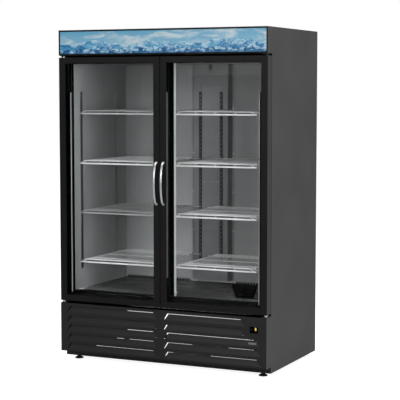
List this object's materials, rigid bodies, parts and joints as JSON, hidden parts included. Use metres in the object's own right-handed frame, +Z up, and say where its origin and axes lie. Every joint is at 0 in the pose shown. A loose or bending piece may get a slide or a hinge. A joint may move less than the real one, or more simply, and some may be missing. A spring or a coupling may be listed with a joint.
{
  "type": "glass door merchandiser",
  "caption": "Upright refrigerated display cabinet with hinged glass doors, lift-off wire shelves, lit header sign and louvred base, on levelling feet.",
  "frame": {"origin": "on the floor, at the centre of the overall box in plan", "axes": "+Z up, doors face -Y, +X to the right seen from the front"},
  "size_m": [1.372, 0.8647, 2.033],
  "materials": {
    "side_grey": "satin powder coat",
    "frame_black": "satin powder coat",
    "grille_black": "fine-textured powder coat",
    "liner_grey": "stucco-embossed, satin",
    "foam": "rigid foam",
    "shelf_white": "semi-gloss coating on wire",
    "standard_dark": "dark satin",
    "aluminium": "brushed",
    "zinc": "zinc-plated",
    "glass": "clear",
    "rubber": "matt",
    "diffuser": "translucent",
    "sign": "printed translucent acrylic",
    "compressor_black": "gloss enamel",
    "plastic_black": "moulded",
    "rocker_yellow": "moulded, translucent"
  },
  "bodies": {
    "cabinet": {"side_panel_left": "side_grey", "side_panel_right": "side_grey", "top_and_back_panel": "side_grey", "insulation": "foam", "liner": "liner_grey", "face_frame": "frame_black", "mullion": "frame_black", "mullion_lamp": "diffuser", "rear_duct": "liner_grey", "temperature_probe": "plastic_black", "standard_left_front": "standard_dark", "standard_left_rear": "standard_dark", "standard_right_front": "standard_dark", "standard_right_rear": "standard_dark", "standard_centre_front_left": "standard_dark", "standard_centre_front_right": "standard_dark", "standard_duct_left": "standard_dark", "standard_duct_right": "standard_dark", "fan_cowl": "plastic_black", "header_box": "frame_black", "sign_panel": "sign", "sign_lamp": "diffuser", "kick_grille": "grille_black", "controller_case": "plastic_black", "base_frame": "grille_black", "foot_front_left": "plastic_black", "foot_front_right": "plastic_black", "foot_rear_left": "plastic_black", "foot_rear_right": "plastic_black", "unit_tray": "zinc", "condenser_coil": "zinc", "fan_shroud": "zinc", "compressor": "compressor_black", "condensate_pan": "zinc", "cord_gland": "plastic_black", "hinge_bottom_left": "zinc", "hinge_bottom_right": "zinc", "hinge_top_left": "zinc", "hinge_top_right": "zinc"},
    "door_left": {"door_frame_left": "frame_black", "door_glass_left": "glass", "door_gasket_left": "rubber", "door_handle_left": "aluminium", "door_light_left": "diffuser"},
    "door_right": {"door_frame_right": "frame_black", "door_glass_right": "glass", "door_gasket_right": "rubber", "door_handle_right": "aluminium", "door_light_right": "diffuser"},
    "condenser_fan": {"condenser_fan": "plastic_black"},
    "circulation_fan": {"circulation_fan": "plastic_black"},
    "rocker_switch": {"rocker_switch": "rocker_yellow"},
    "shelf_left_1": {"shelf_left_1": "shelf_white"},
    "shelf_left_2": {"shelf_left_2": "shelf_white"},
    "shelf_left_3": {"shelf_left_3": "shelf_white"},
    "shelf_left_4": {"shelf_left_4": "shelf_white"},
    "shelf_right_1": {"shelf_right_1": "shelf_white"},
    "shelf_right_2": {"shelf_right_2": "shelf_white"},
    "shelf_right_3": {"shelf_right_3": "shelf_white"},
    "shelf_right_4": {"shelf_right_4": "shelf_white"}
  },
  "joints": [
    {"name": "door_hinge_left", "type": "hinge", "parent": "cabinet", "child": "door_left", "pos_m": [-0.672, -0.3705, 0.377], "axis": [0, 0, -1], "range_deg": [0, 110], "stiffness_Nm_per_rad": 1},
    {"name": "door_hinge_right", "type": "hinge", "parent": "cabinet", "child": "door_right", "pos_m": [0.672, -0.3705, 0.377], "axis": [0, 0, 1], "range_deg": [0, 110], "stiffness_Nm_per_rad": 1},
    {"name": "shelf_lift_left_1", "type": "slide", "parent": "cabinet", "child": "shelf_left_1", "axis": [0, 0, 1], "range_m": [0, 0.025]},
    {"name": "shelf_lift_left_2", "type": "slide", "parent": "cabinet", "child": "shelf_left_2", "axis": [0, 0, 1], "range_m": [0, 0.025]},
    {"name": "shelf_lift_left_3", "type": "slide", "parent": "cabinet", "child": "shelf_left_3", "axis": [0, 0, 1], "range_m": [0, 0.025]},
    {"name": "shelf_lift_left_4", "type": "slide", "parent": "cabinet", "child": "shelf_left_4", "axis": [0, 0, 1], "range_m": [0, 0.025]},
    {"name": "shelf_lift_right_1", "type": "slide", "parent": "cabinet", "child": "shelf_right_1", "axis": [0, 0, 1], "range_m": [0, 0.025]},
    {"name": "shelf_lift_right_2", "type": "slide", "parent": "cabinet", "child": "shelf_right_2", "axis": [0, 0, 1], "range_m": [0, 0.025]},
    {"name": "shelf_lift_right_3", "type": "slide", "parent": "cabinet", "child": "shelf_right_3", "axis": [0, 0, 1], "range_m": [0, 0.025]},
    {"name": "shelf_lift_right_4", "type": "slide", "parent": "cabinet", "child": "shelf_right_4", "axis": [0, 0, 1], "range_m": [0, 0.025]},
    {"name": "condenser_fan_spin", "type": "hinge", "parent": "cabinet", "child": "condenser_fan", "pos_m": [0.54185, 0.047, 0.2], "axis": [0, 1, 0], "continuous": true},
    {"name": "circulation_fan_spin", "type": "hinge", "parent": "cabinet", "child": "circulation_fan", "pos_m": [0.436, -0.1295, 0.46565], "axis": [0, 1, 0], "continuous": true},
    {"name": "rocker_tilt", "type": "hinge", "parent": "cabinet", "child": "rocker_switch", "pos_m": [0.618, -0.3865, 0.2923], "axis": [1, 0, 0], "range_deg": [0, 14]}
  ]
}
